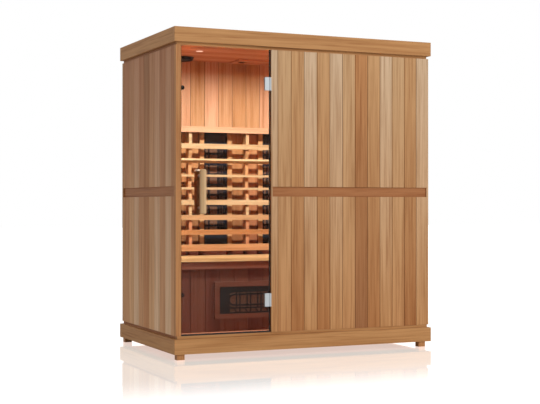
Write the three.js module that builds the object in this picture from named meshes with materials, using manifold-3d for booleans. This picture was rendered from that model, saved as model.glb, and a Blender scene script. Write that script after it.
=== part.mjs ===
// Infrared sauna cabin for three sitters: timber panel walls, a glass door, a bench and a slatted backrest.
// Millimetres, +Z up. X runs along the front, the door faces -Y, and Z = 0 is the floor under the feet.
import * as THREE from "three";
import { mergeVertices } from "three/addons/utils/BufferGeometryUtils.js";
import Module from "manifold-3d";

// Overall sizes of the base plinth and the roof tray
const cabin_width = 1748;
const cabin_depth = 1074;
const cabin_height = 1956;
const tray_height = 87;
const plinth_height = 88.5;
const trim_thickness = 36;
const fit_gap = 0.3;
const join_overlap = 1;

// Feet under the plinth
const foot_height = 33;
const foot_width = 47;
const foot_depth = 42;
const foot_inset_left = 19;
const foot_inset_right = 38;
const foot_inset_front = 10;

// Wall build-up, measured from the outer faces of the boards
const wall_inset = 12;
const board_thickness = 8.7;
const wall_thickness = 34;
const lining_thickness = 8.7;
const shadow_strip_bottom = 18.5;
const strip_setback = 3;
const shadow_strip_top = 18;
const rail_height = 60;
const rail_bottom = 961;
const corner_post = 22;
const front_post = 13;
const jamb_post = 8;
const front_board_pitch = 88.8;
const front_last_joint = 1;
const side_board_pitch = 101.9;
const side_last_board = 46;
const lining_pitch = 101.2;
const lining_joint = -95;
const groove_width = 5;
const groove_depth = 2.5;
const lip_gap = 2;

// Floor and ceiling
const floor_height = 90;
const floor_thickness = 24;
const ceiling_rise = 10.5;
const ceiling_thickness = 16;
const cover_drop = 52;
const cover_thickness = 10;
const ceiling_pitch = 107;

// Doorway and door
const doorway_from_side = 44;
const doorway_width = 582;
const glass_thickness = 8;
const glass_setback = 6;
const glass_left_gap = 4;
const glass_right_gap = 7;
const glass_top_gap = 4;
const seal_height = 8;
const seal_depth = 12;
const seal_gap = 1;
const gasket_depth = 8;
const gasket_lap = 2;
const gasket_spine = 5.5;
const stop_radius = 13;
const stop_depth = 16;
const stop_gap = 0.5;
const stop_from_top = 247;
const stop_from_bottom = 231;

// Hinges between the door glass and the right jamb
const hinge_height = 80;
const hinge_from_top = 203;
const hinge_from_bottom = 186;
const hinge_plate_reach = 43;
const hinge_notch = 9;
const hinge_notch_gap = 3;
const hinge_plate_thickness = 6;
const hinge_web_thickness = 4;
const hinge_axis_inset = 9;
const hinge_axis_setback = 2;
const knuckle_radius = 6;
const pin_radius = 2.6;
const pin_clearance = 0.08;
const knuckle_share = 0.46;
const leaf_thickness = 2.4;
const leaf_depth = 14;

// Door handle: one rod outside and one inside, on two through bolts
const handle_length = 265;
const handle_radius = 20;
const handle_round = 11;
const handle_level = 988;
const handle_from_edge = 120;
const handle_gap = 22;
const bolt_spacing = 190;
const bolt_radius = 5;
const bolt_collar_radius = 9;
const bolt_embed = 20;

// Bench
const bench_level = 568;
const seat_thickness = 23;
const seat_depth = 449;
const seat_groove_pitch = 112;
const seat_overhang = 18;
const bench_panel_thickness = 18;
const bench_panel_joint = -48;
const apron_height = 48;
const apron_thickness = 12;
const bench_heater_width = 716;
const bench_heater_bottom = 204;
const bench_heater_height = 176;
const bench_heater_thickness = 11;
const heater_frame_width = 33;
const heater_frame_rail = 32;
const heater_frame_thickness = 15;

// Openings stamped in the heater guards, with the emitter behind them
const guard_recess = 4;
const bench_guard_level = 90;
const bench_guard_radius = 29;
const bench_guard_window = 43;
const bench_guard_pitch = 75.5;
const bench_guard_count = 8;
const bench_guard_bar = 8.5;
const bench_ring_inner = 40;
const bench_ring_outer = 49;
const bench_ring_gap = 32;
const bench_louvre_bottom = 10;
const bench_louvre_top = 32.5;
const bench_louvre_slant = 16;
const back_guard_pitch = 70;
const back_guard_bar = 13;
const back_guard_margin = 84;
const back_guard_columns = [
  [-13, 56],
  [-62, 18],
  [29, 4],
  [41, 4],
  [53, 4],
];

// Backrest and upper back panel
const backrest_depth = 79;
const slat_thickness = 15;
const slat_face = 34;
const lowest_slat_face = 44;
const slat_end_gap = 0.4;
const rib_width = 22;
const rib_spacing = 417;
const rib_bottom = 606;
const hollow_depth = 13;
const hollow_margin = 10;
const rib_notch = 2;
const slat_levels_upright = [1308, 928, 826, 726];
const lowest_slat_level = 621.5;
const slat_levels_flat = [1108.5, 1022];
const slat_level_tilted = 1209.5;
const slat_tilt = 60;
const flat_slat_lead = 2;
const upper_panel_bottom = 1401.5;
const upper_rail_height = 38;
const upper_panel_joint = 84;

// Heaters on the back wall
const back_heater_width = 171;
const back_heater_bottom = 622;
const back_heater_top = 1440;
const back_heater_thickness = 14;
const back_heater_offset = 217.5;
const batten_width = 33;
const batten_depth = 26;

// Ceiling fittings
const downlight_from_side = 282;
const downlight_from_front = 456;
const downlight_radius = 22;
const downlight_bezel = 2;
const downlight_body_radius = 18;
const downlight_body_height = 14;
const speaker_from_side = 279;
const speaker_from_backrest = 137;
const speaker_radius = 95;
const speaker_height = 19;
const speaker_taper = 12;
const grille_radius = 70;
const grille_recess = 3;
const vent_from_backrest = 47;
const vent_left = -160;
const vent_length = 365;
const vent_depth = 176;
const vent_border = 35;
const vent_front_border = 56;
const vent_thickness = 10;
const vent_hole_length = 210;
const shutter_thickness = 4;
const shutter_lap = 5;
const shutter_left = -65;
const shutter_length = 231;
const finger_radius = 12;
const finger_depth = 2;

// Controls and the power inlet
const control_from_doorway = 130;
const control_level = 1380;
const control_width = 190;
const control_height = 120;
const control_thickness = 14;
const inlet_width = 150;
const inlet_depth = 90;
const inlet_height = 34;
const inlet_from_back = 120;
const gland_radius = 11;
const gland_length = 26;

// Planes that follow from the sizes above
const half_width = cabin_width / 2;
const half_depth = cabin_depth / 2;
const plinth_top = foot_height + plinth_height;
const tray_bottom = cabin_height - tray_height;
const wall_x = half_width - wall_inset;
const wall_y = half_depth - wall_inset;
const core_x = wall_x - board_thickness - fit_gap;
const core_y = wall_y - board_thickness - fit_gap;
const room_x = wall_x - wall_thickness;
const room_y = wall_y - wall_thickness;
const trim_x = half_width - trim_thickness;
const trim_y = half_depth - trim_thickness;
const board_bottom = plinth_top + shadow_strip_bottom;
const board_top = tray_bottom - shadow_strip_top;
const rail_top = rail_bottom + rail_height;
const ceiling_level = tray_bottom + ceiling_rise;
const ceiling_top = ceiling_level + ceiling_thickness;
const cover_level = cabin_height - cover_drop;
const doorway_left = -half_width + doorway_from_side;
const doorway_right = doorway_left + doorway_width;
const glass_front = -wall_y + glass_setback;
const glass_back = glass_front + glass_thickness;
const glass_left = doorway_left + glass_left_gap;
const glass_right = doorway_right - glass_right_gap;
const notch_edge = glass_right - hinge_notch;
const glass_bottom = board_bottom + seal_height + seal_gap;
const glass_top = board_top - glass_top_gap;
const hinge_lower_level = glass_bottom + hinge_from_bottom;
const hinge_upper_level = glass_top - hinge_from_top;
const stop_lower_level = glass_bottom + stop_from_bottom;
const stop_upper_level = glass_top - stop_from_top;
const axis_x = doorway_right - hinge_axis_inset;
const axis_y = -wall_y + hinge_axis_setback;
const handle_x = glass_left + handle_from_edge;
const handle_front_y = glass_front - handle_gap - handle_radius;
const handle_back_y = glass_back + handle_gap + handle_radius;
const seat_front = room_y - seat_depth;
const bench_panel_front = seat_front + seat_overhang;
const backrest_front = room_y - backrest_depth;
const slat_back = backrest_front + slat_thickness;
const downlight_x = room_x - downlight_from_side;
const downlight_y = -half_depth + downlight_from_front;
const speaker_x = -room_x + speaker_from_side;
const speaker_y = backrest_front - speaker_from_backrest;
const control_x = doorway_right + control_from_doorway;
const vent_back = backrest_front - vent_from_backrest;
const vent_front = vent_back - vent_depth;

// The origin lies under the middle of the outline, which reaches from the handle to the back of the plinth
const origin_shift = (half_depth - handle_front_y + handle_radius) / 2 - half_depth;

const wood_front = [0xbf9468, 0.62, 0];
const wood_side = [0xb88d64, 0.62, 0];
const wood_trim = [0xb5834f, 0.6, 0];
const wood_room = [0xc77f4e, 0.6, 0];
const wood_slat = [0xe8b07a, 0.58, 0];
const wood_handle = [0xc7a57a, 0.5, 0];
const black_enamel = [0x2a2523, 0.55, 0];
const black_rubber = [0x17171a, 0.8, 0];
const satin_steel = [0xc6cbd0, 0.3, 0.9];
const clear_glass = [0xd8e2de, 0.06, 0];
const white_lens = [0xf4f1ea, 0.4, 0];

const wasm = await Module();
wasm.setup();
const cabin = new THREE.Group();
cabin.name = "infrared_sauna_cabin";

// A closed three.js geometry as a solid for cutting and joining
function solid(geometry) {
  const plain = geometry.clone();
  plain.deleteAttribute("normal");
  plain.deleteAttribute("uv");
  const merged = mergeVertices(plain, 1e-4);
  return new wasm.Manifold(
    new wasm.Mesh({
      numProp: 3,
      vertProperties: merged.attributes.position.array,
      triVerts: new Uint32Array(merged.index.array),
    }),
  );
}

function geometryOf(body) {
  const mesh = body.getMesh();
  const geometry = new THREE.BufferGeometry();
  geometry.setAttribute("position", new THREE.BufferAttribute(mesh.vertProperties, 3));
  geometry.setIndex(new THREE.BufferAttribute(mesh.triVerts, 1));
  return geometry;
}

function joined(...geometries) {
  return geometryOf(geometries.map(solid).reduce((whole, piece) => whole.add(piece)));
}

function cut(geometry, ...tools) {
  return geometryOf(tools.map(solid).reduce((whole, tool) => whole.subtract(tool), solid(geometry)));
}

function slab(x0, x1, y0, y1, z0, z1) {
  const geometry = new THREE.BoxGeometry(x1 - x0, y1 - y0, z1 - z0);
  return geometry.translate((x0 + x1) / 2, (y0 + y1) / 2, (z0 + z1) / 2);
}

function extruded(points, length) {
  const shape = new THREE.Shape(points.map(([u, v]) => new THREE.Vector2(u, v)));
  return new THREE.ExtrudeGeometry(shape, { depth: length, bevelEnabled: false, steps: 1 });
}

// Outlines given as (x, y) and run up Z, or as (y, z) and run along X
function uprightPrism(points, z0, z1) {
  return extruded(points, z1 - z0).translate(0, 0, z0);
}

function lengthwisePrism(points, x0, x1) {
  const turn = new THREE.Matrix4().makeBasis(
    new THREE.Vector3(0, 1, 0),
    new THREE.Vector3(0, 0, 1),
    new THREE.Vector3(1, 0, 0),
  );
  return extruded(points, x1 - x0).applyMatrix4(turn).translate(x0, 0, 0);
}

// Outline given as (x, z) and run along Y
function crosswisePrism(points, y0, y1) {
  return extruded(points, y1 - y0).rotateX(Math.PI / 2).translate(0, y1, 0);
}

// Long outline with half-round ends, from x0 to x1 about the level z
function roundEnded(x0, x1, z, radius) {
  const outline = [];
  const steps = 10;
  for (const [centre, start] of [
    [x1 - radius, -Math.PI / 2],
    [x0 + radius, Math.PI / 2],
  ]) {
    for (let step = 0; step <= steps; step += 1) {
      const angle = start + (Math.PI * step) / steps;
      outline.push([centre + radius * Math.cos(angle), z + radius * Math.sin(angle)]);
    }
  }
  return outline;
}

function roundAlongZ(radius, x, y, z0, z1, sides = 32) {
  const geometry = new THREE.CylinderGeometry(radius, radius, z1 - z0, sides);
  return geometry.rotateX(Math.PI / 2).translate(x, y, (z0 + z1) / 2);
}

function roundAlongY(radius, x, z, y0, y1, sides = 32) {
  const geometry = new THREE.CylinderGeometry(radius, radius, y1 - y0, sides);
  return geometry.translate(x, (y0 + y1) / 2, z);
}

// Edge line of a row of boards: from start to end at the face level, with a V groove at each joint
function groovedEdge(start, end, face, inward, joints) {
  const line = [[start, face]];
  for (const joint of joints) {
    line.push([joint - groove_width / 2, face]);
    line.push([joint, face + inward * groove_depth]);
    line.push([joint + groove_width / 2, face]);
  }
  line.push([end, face]);
  return line;
}

// Joint positions at a pitch, counted from one joint, that leave at least a strip at either end
function jointsBetween(start, end, pitch, from) {
  const strip = groove_width * 2;
  const first = from + Math.ceil((start + strip - from) / pitch) * pitch;
  const count = Math.max(0, Math.floor((end - strip - first) / pitch) + 1);
  return Array.from({ length: count }, (_, index) => first + index * pitch);
}

// Boards that stand side by side, with their grooved face at face and their flat back at back
function boardsAlongX(x0, x1, face, back, z0, z1, pitch, from) {
  const edge = groovedEdge(x0, x1, face, Math.sign(back - face), jointsBetween(x0, x1, pitch, from));
  const outline = [...edge, [x1, back], [x0, back]];
  return uprightPrism(outline, z0, z1);
}

function boardsAlongY(y0, y1, face, back, z0, z1, pitch, from) {
  const edge = groovedEdge(y0, y1, face, Math.sign(back - face), jointsBetween(y0, y1, pitch, from));
  const outline = [...edge, [y1, back], [y0, back]].map(([along, across]) => [across, along]);
  return uprightPrism(outline, z0, z1);
}

function place(name, geometry, [colour, roughness, metalness]) {
  const moved = geometry.index ? geometry.toNonIndexed() : geometry.clone();
  moved.translate(0, origin_shift, 0);
  moved.computeVertexNormals();
  const mesh = new THREE.Mesh(
    moved,
    new THREE.MeshStandardMaterial({ color: colour, roughness, metalness }),
  );
  mesh.name = name;
  cabin.add(mesh);
}

// Feet and plinth
for (const [side, x0] of [
  ["left", -half_width + foot_inset_left],
  ["right", half_width - foot_inset_right - foot_width],
]) {
  for (const [end, y0] of [
    ["front", -half_depth + foot_inset_front],
    ["back", half_depth - foot_inset_front - foot_depth],
  ]) {
    const foot = slab(x0, x0 + foot_width, y0, y0 + foot_depth, 0, foot_height - fit_gap);
    place(`foot_${end}_${side}`, foot, wood_trim);
  }
}
for (const [ring, z0, z1] of [
  ["base", foot_height, plinth_top],
  ["roof", tray_bottom, cabin_height],
]) {
  const side_end = trim_y - fit_gap;
  place(`${ring}_front_board`, slab(-half_width, half_width, -half_depth, -trim_y, z0, z1), wood_trim);
  place(`${ring}_back_board`, slab(-half_width, half_width, trim_y, half_depth, z0, z1), wood_trim);
  place(`${ring}_left_board`, slab(-half_width, -trim_x, -side_end, side_end, z0, z1), wood_trim);
  place(`${ring}_right_board`, slab(trim_x, half_width, -side_end, side_end, z0, z1), wood_trim);
}
const tray_x = trim_x - fit_gap;
const tray_y = trim_y - fit_gap;
place(
  "floor_deck",
  slab(-tray_x, tray_x, -tray_y, tray_y, floor_height - floor_thickness, floor_height - fit_gap),
  wood_room,
);

// Ceiling of boards along X: whole boards before and behind the vent hole, short boards beside it
const hole_left = vent_left + vent_border;
const hole_right = hole_left + vent_hole_length;
const hole_front = vent_front + vent_front_border;
const hole_back = vent_back - vent_border;
function ceilingBoards(x0, x1, y0, y1) {
  const edge = groovedEdge(y0, y1, ceiling_level, 1, jointsBetween(y0, y1, ceiling_pitch, hole_front));
  return lengthwisePrism([...edge, [y1, ceiling_top], [y0, ceiling_top]], x0, x1);
}
const light_seats = [-downlight_x, downlight_x].map((x) =>
  roundAlongZ(
    downlight_body_radius + fit_gap,
    x,
    downlight_y,
    ceiling_level - join_overlap,
    ceiling_top + join_overlap,
  ),
);
const front_ceiling = ceilingBoards(-tray_x, tray_x, -tray_y, hole_front - fit_gap);
place("ceiling_front_panel", cut(front_ceiling, ...light_seats), wood_room);
place("ceiling_left_panel", ceilingBoards(-tray_x, hole_left, hole_front, hole_back), wood_room);
place("ceiling_right_panel", ceilingBoards(hole_right, tray_x, hole_front, hole_back), wood_room);
place("ceiling_back_panel", ceilingBoards(-tray_x, tray_x, hole_back + fit_gap, tray_y), wood_room);
place(
  "roof_cover",
  slab(-tray_x, tray_x, -tray_y, tray_y, cover_level, cover_level + cover_thickness),
  wood_side,
);

// Side walls: a core panel that is boarded inside, with outer boards above and below the middle rail
const core_bottom = plinth_top + fit_gap;
const core_top = tray_bottom - fit_gap;
const lip_bottom = floor_height;
const lip_top = ceiling_level - fit_gap;
const wall_front = -room_y + fit_gap;
const post_front = wall_y - corner_post;
for (const [side, sign] of [
  ["left", -1],
  ["right", 1],
]) {
  const core = boardsAlongY(
    wall_front,
    wall_y,
    sign * room_x,
    sign * core_x,
    core_bottom,
    core_top,
    lining_pitch,
    room_y - lining_pitch,
  );
  const lip_inner = room_x + groove_depth + join_overlap;
  const lip_x = [sign * lip_inner, sign * tray_x].sort((a, b) => a - b);
  const lip = slab(...lip_x, wall_front, tray_y, lip_bottom, lip_top);
  const post_x = [sign * (core_x - join_overlap), sign * wall_x].sort((a, b) => a - b);
  const post = slab(...post_x, post_front, wall_y, board_bottom, board_top);
  place(`${side}_wall_core`, joined(core, lip, post), wood_side);
  for (const [level, z0, z1] of [
    ["lower", board_bottom, rail_bottom],
    ["upper", rail_top, board_top],
  ]) {
    const boards = boardsAlongY(
      wall_front,
      post_front - fit_gap,
      sign * wall_x,
      sign * (wall_x - board_thickness),
      z0,
      z1,
      side_board_pitch,
      wall_y - side_last_board,
    );
    place(`${side}_wall_${level}_boards`, boards, wood_side);
  }
}

// Back wall between the side walls: a boarded panel, and a lining with battens beside the heaters
const back_x = room_x - fit_gap;
const lining_back = room_y + lining_thickness;
const panel_face = boardsAlongX(
  -back_x,
  back_x,
  wall_y,
  core_y - join_overlap,
  board_bottom,
  board_top,
  side_board_pitch,
  0,
);
const panel_core = slab(-back_x, back_x, lining_back + fit_gap, core_y, core_bottom, core_top);
place("back_wall_panel", joined(panel_face, panel_core), wood_side);
const lining_pieces = [
  boardsAlongX(-back_x, back_x, room_y, lining_back, lip_bottom, lip_top, lining_pitch, lining_joint),
];
for (const centre of [-back_heater_offset, back_heater_offset]) {
  const reach = back_heater_width / 2 + fit_gap;
  for (const x0 of [centre - reach - batten_width, centre + reach]) {
    const batten_back = room_y + groove_depth + join_overlap;
    const batten_bottom = bench_level + fit_gap;
    lining_pieces.push(
      slab(x0, x0 + batten_width, room_y - batten_depth, batten_back, batten_bottom, lip_top),
    );
  }
}
place("back_wall_lining", joined(...lining_pieces), wood_room);

// Front wall: rails over the whole width, a stile left of the doorway and a boarded panel right of it
const rail_end = core_x;
const rail_back = -room_y;
const strip_front = -wall_y + strip_setback;
const strip_top = board_bottom - fit_gap;
const bottom_rail = slab(-rail_end, rail_end, strip_front, rail_back, core_bottom, strip_top);
const bottom_lip = slab(-tray_x, tray_x, -tray_y, rail_back, lip_bottom, board_bottom - lip_gap);
place("front_bottom_rail", joined(bottom_rail, bottom_lip), wood_trim);
const top_rail = slab(-rail_end, rail_end, -core_y, rail_back, board_top + fit_gap, core_top);
const top_lip = slab(-tray_x, tray_x, -tray_y, rail_back, board_top + lip_gap, lip_top);
place("front_top_rail", joined(top_rail, top_lip), wood_trim);
place(
  "front_left_stile",
  slab(-wall_x, doorway_left, -wall_y, rail_back, board_bottom, board_top),
  wood_trim,
);
const channel_left = doorway_right + jamb_post;
const channel_right = wall_x - front_post;
const inner_joints = jointsBetween(doorway_right, room_x, lining_pitch, 0).reverse();
const front_core = [
  [doorway_right, -wall_y],
  [channel_left, -wall_y],
  [channel_left, -core_y],
  [channel_right, -core_y],
  [channel_right, -wall_y],
  [wall_x, -wall_y],
  [wall_x, rail_back],
];
for (const joint of inner_joints) {
  front_core.push([joint + groove_width / 2, rail_back]);
  front_core.push([joint, rail_back - groove_depth]);
  front_core.push([joint - groove_width / 2, rail_back]);
}
front_core.push([doorway_right, rail_back]);
place("front_wall_core", uprightPrism(front_core, board_bottom, board_top), wood_front);
for (const [level, z0, z1] of [
  ["lower", board_bottom, rail_bottom],
  ["upper", rail_top, board_top],
]) {
  const boards = boardsAlongX(
    channel_left + fit_gap,
    channel_right - fit_gap,
    -wall_y,
    -wall_y + board_thickness,
    z0,
    z1,
    front_board_pitch,
    wall_x - front_last_joint,
  );
  place(`front_wall_${level}_boards`, boards, wood_front);
}

// Door glass with the bolt holes of its handle and a notch for each hinge
const bolt_levels = [
  ["lower", handle_level - bolt_spacing / 2],
  ["upper", handle_level + bolt_spacing / 2],
];
const bolt_holes = bolt_levels.map(([, z]) =>
  roundAlongY(bolt_radius + fit_gap, handle_x, z, glass_front - join_overlap, glass_back + join_overlap),
);
const hinge_half = hinge_height / 2 + hinge_notch_gap;
const hinge_notches = [hinge_lower_level, hinge_upper_level].map((z) =>
  slab(
    notch_edge,
    glass_right + join_overlap,
    glass_front - join_overlap,
    glass_back + join_overlap,
    z - hinge_half,
    z + hinge_half,
  ),
);
const pane = slab(glass_left, glass_right, glass_front, glass_back, glass_bottom, glass_top);
place("door_glass", cut(pane, ...bolt_holes, ...hinge_notches), clear_glass);

// Handle rods with rounded ends, bored for the bolts on the side that faces the glass
const rod_half = handle_length / 2;
const rod_end = [];
const round_steps = 5;
for (let step = 0; step <= round_steps; step += 1) {
  const angle = (Math.PI / 2) * (step / round_steps);
  const r = handle_radius - handle_round * (1 - Math.sin(angle));
  rod_end.push([r, rod_half - handle_round * (1 - Math.cos(angle))]);
}
const rod_profile = [
  [0, -rod_half],
  ...rod_end.map(([r, z]) => [r, -z]),
  ...rod_end.reverse(),
  [0, rod_half],
].map(([r, z]) => new THREE.Vector2(r, z));
const bore_depth = bolt_embed + join_overlap;
for (const [name, y, toward] of [
  ["door_handle_outer", handle_front_y, 1],
  ["door_handle_inner", handle_back_y, -1],
]) {
  const rod = new THREE.LatheGeometry(rod_profile, 40).rotateX(Math.PI / 2);
  rod.translate(handle_x, y, handle_level);
  const mouth = y + toward * (handle_radius + join_overlap);
  const bottom = y + toward * (handle_radius - bore_depth);
  const bores = bolt_levels.map(([, z]) =>
    roundAlongY(bolt_radius + fit_gap, handle_x, z, Math.min(mouth, bottom), Math.max(mouth, bottom)),
  );
  place(name, cut(rod, ...bores), wood_handle);
}
for (const [level, z] of bolt_levels) {
  const rod_face_front = handle_front_y + handle_radius;
  const rod_face_back = handle_back_y - handle_radius;
  const shank = roundAlongY(
    bolt_radius,
    handle_x,
    z,
    rod_face_front - bolt_embed,
    rod_face_back + bolt_embed,
  );
  const front_collar = roundAlongY(
    bolt_collar_radius,
    handle_x,
    z,
    rod_face_front + fit_gap,
    glass_front - fit_gap,
  );
  const back_collar = roundAlongY(
    bolt_collar_radius,
    handle_x,
    z,
    glass_back + fit_gap,
    rod_face_back - fit_gap,
  );
  place(`handle_bolt_${level}`, joined(shank, front_collar, back_collar), satin_steel);
}

// Hinges: a clamp on the glass with the middle knuckle, a leaf on the jamb with the outer two and the pin
const plate_front = glass_front - fit_gap - hinge_plate_thickness;
const plate_back = glass_back + fit_gap + hinge_plate_thickness;
const plate_left = doorway_right - hinge_plate_reach;
const web_right = notch_edge + fit_gap + hinge_web_thickness;
for (const [level, z] of [
  ["lower", hinge_lower_level],
  ["upper", hinge_upper_level],
]) {
  const z0 = z - hinge_height / 2;
  const z1 = z + hinge_height / 2;
  const middle = (hinge_height * knuckle_share) / 2;
  const pin_hole = roundAlongZ(pin_radius + pin_clearance, axis_x, axis_y, z0, z1, 24);
  const clamp = joined(
    slab(plate_left, web_right, plate_front, glass_front - fit_gap, z0, z1),
    slab(plate_left, web_right, glass_back + fit_gap, plate_back, z0, z1),
    slab(notch_edge + fit_gap, web_right, plate_front, plate_back, z0, z1),
    roundAlongZ(knuckle_radius, axis_x, axis_y, z - middle, z + middle),
  );
  const room_radius = knuckle_radius + fit_gap;
  const lower_room = roundAlongZ(room_radius, axis_x, axis_y, z0 - join_overlap, z - middle);
  const upper_room = roundAlongZ(room_radius, axis_x, axis_y, z + middle, z1 + join_overlap);
  place(`hinge_clamp_${level}`, cut(clamp, pin_hole, lower_room, upper_room), satin_steel);
  const leaf_plate = slab(
    doorway_right - fit_gap - leaf_thickness,
    doorway_right - fit_gap,
    -wall_y,
    -wall_y + leaf_depth,
    z0,
    z1,
  );
  const bridge_lower = slab(
    axis_x,
    doorway_right - fit_gap - leaf_thickness / 2,
    axis_y - knuckle_radius / 2,
    axis_y + knuckle_radius / 2,
    z0,
    z - middle - fit_gap,
  );
  const bridge_upper = bridge_lower.clone().translate(0, 0, z1 - z + middle + fit_gap);
  const leaf = joined(
    leaf_plate,
    bridge_lower,
    bridge_upper,
    roundAlongZ(knuckle_radius, axis_x, axis_y, z0, z - middle - fit_gap),
    roundAlongZ(knuckle_radius, axis_x, axis_y, z + middle + fit_gap, z1),
    roundAlongZ(pin_radius, axis_x, axis_y, z0, z1, 24),
  );
  place(`hinge_leaf_${level}`, leaf, satin_steel);
}

// Seals and stops round the doorway
const gasket_left = glass_right - gasket_lap;
const gasket_front = glass_back + seal_gap;
const gasket_notches = [hinge_lower_level, hinge_upper_level].map((z) =>
  slab(
    gasket_left - join_overlap,
    doorway_right - gasket_spine,
    gasket_front - join_overlap,
    gasket_front + gasket_depth + join_overlap,
    z - hinge_half,
    z + hinge_half,
  ),
);
place(
  "door_gasket",
  cut(
    slab(
      gasket_left,
      doorway_right - fit_gap,
      gasket_front,
      gasket_front + gasket_depth,
      board_bottom,
      board_top,
    ),
    ...gasket_notches,
  ),
  black_rubber,
);
place(
  "door_sill_seal",
  slab(
    doorway_left + fit_gap,
    gasket_left - fit_gap,
    glass_back - seal_depth,
    glass_back,
    board_bottom,
    board_bottom + seal_height,
  ),
  black_rubber,
);
for (const [level, z] of [
  ["lower", stop_lower_level],
  ["upper", stop_upper_level],
]) {
  const x = doorway_left + stop_radius + fit_gap;
  const y0 = glass_back + stop_gap;
  const head = roundAlongY(stop_radius, x, z, y0, y0 + stop_depth);
  const root = slab(
    doorway_left + fit_gap,
    x,
    y0,
    y0 + stop_depth,
    z - stop_radius * 0.7,
    z + stop_radius * 0.7,
  );
  place(`door_stop_${level}`, joined(head, root), black_rubber);
}

// Bench: seat, front panel with its apron, heater in a timber frame
const seat_back = room_y - fit_gap;
const seat_joints = jointsBetween(seat_front, seat_back, seat_groove_pitch, seat_front);
const seat_edge = groovedEdge(seat_front, seat_back, bench_level, -1, seat_joints).reverse();
const seat_underside = bench_level - seat_thickness;
const seat_outline = [[seat_front, seat_underside], [seat_back, seat_underside], ...seat_edge];
place("bench_seat", lengthwisePrism(seat_outline, -back_x, back_x), wood_slat);
const panel_back = bench_panel_front + bench_panel_thickness;
const panel_top = seat_underside - fit_gap;
place(
  "bench_front_panel",
  joined(
    boardsAlongX(
      -back_x,
      back_x,
      bench_panel_front,
      panel_back,
      floor_height,
      panel_top,
      lining_pitch,
      bench_panel_joint,
    ),
    slab(
      -back_x,
      back_x,
      bench_panel_front - apron_thickness,
      bench_panel_front + groove_depth + join_overlap,
      panel_top - apron_height,
      panel_top,
    ),
  ),
  wood_room,
);
const bench_half = bench_heater_width / 2;
const bench_heater_top = bench_heater_bottom + bench_heater_height;
const frame_back = bench_panel_front - fit_gap;
place(
  "bench_heater_frame",
  cut(
    slab(
      -bench_half - heater_frame_width,
      bench_half + heater_frame_width,
      frame_back - heater_frame_thickness,
      frame_back,
      bench_heater_bottom - heater_frame_rail,
      bench_heater_top + heater_frame_rail,
    ),
    slab(
      -bench_half,
      bench_half,
      frame_back - heater_frame_thickness - join_overlap,
      frame_back + join_overlap,
      bench_heater_bottom,
      bench_heater_top,
    ),
  ),
  wood_room,
);

// Guard of the bench heater: a long window crossed by bars, a slot round it and a row of slanted louvres
const bench_heater_face = frame_back - bench_heater_thickness;
const guard_front = bench_heater_face - join_overlap;
const guard_back = bench_heater_face + guard_recess;
const guard_level = bench_heater_bottom + bench_guard_level;
const guard_right = (bench_guard_window + bench_guard_pitch * (bench_guard_count - 1)) / 2;
const guard_bars = [];
const louvres = [];
const louvre_bottom = bench_heater_bottom + bench_louvre_bottom;
const louvre_top = bench_heater_bottom + bench_louvre_top;
for (let index = 0; index < bench_guard_count; index += 1) {
  const x0 = index * bench_guard_pitch - guard_right;
  const slant_top = x0 + bench_guard_window - bench_louvre_slant;
  const slant_bottom = x0 + bench_guard_window;
  louvres.push([
    [x0, louvre_bottom],
    [slant_bottom, louvre_bottom],
    [slant_top, louvre_top],
    [x0, louvre_top],
  ]);
  if (index < bench_guard_count - 1) {
    const next_bar = x0 + bench_guard_pitch - bench_guard_bar;
    guard_bars.push(x0 + bench_guard_window, next_bar);
    louvres.push([
      [slant_bottom + bench_guard_bar, louvre_bottom],
      [next_bar, louvre_bottom],
      [next_bar, louvre_top],
      [slant_top + bench_guard_bar, louvre_top],
    ]);
  }
}
const bar_blocks = guard_bars.map((x) =>
  slab(
    x,
    x + bench_guard_bar,
    guard_front - join_overlap,
    guard_back + join_overlap,
    bench_heater_bottom,
    bench_heater_top,
  ),
);
function guardOpening(radius) {
  const reach = guard_right - bench_guard_radius + radius;
  return crosswisePrism(roundEnded(-reach, reach, guard_level, radius), guard_front, guard_back);
}
const ring_blocks = [-1, 1].map((sign) => {
  const [x0, x1] = [sign * guard_right, sign * bench_half].sort((a, b) => a - b);
  return slab(
    sign < 0 ? x0 : x0 - bench_guard_radius,
    sign < 0 ? x1 + bench_guard_radius : x1,
    guard_front - join_overlap,
    guard_back + join_overlap,
    guard_level - bench_ring_gap,
    guard_level + bench_ring_gap,
  );
});
const guard_ring = cut(guardOpening(bench_ring_outer), guardOpening(bench_ring_inner), ...ring_blocks);
const louvre_cuts = louvres.map((outline) => crosswisePrism(outline, guard_front, guard_back));
place(
  "bench_heater",
  cut(
    slab(
      -bench_half + fit_gap,
      bench_half - fit_gap,
      bench_heater_face,
      frame_back,
      bench_heater_bottom + fit_gap,
      bench_heater_top - fit_gap,
    ),
    cut(guardOpening(bench_guard_radius), ...bar_blocks),
    cut(guard_ring, ...bar_blocks),
    ...louvre_cuts,
  ),
  black_enamel,
);

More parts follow.
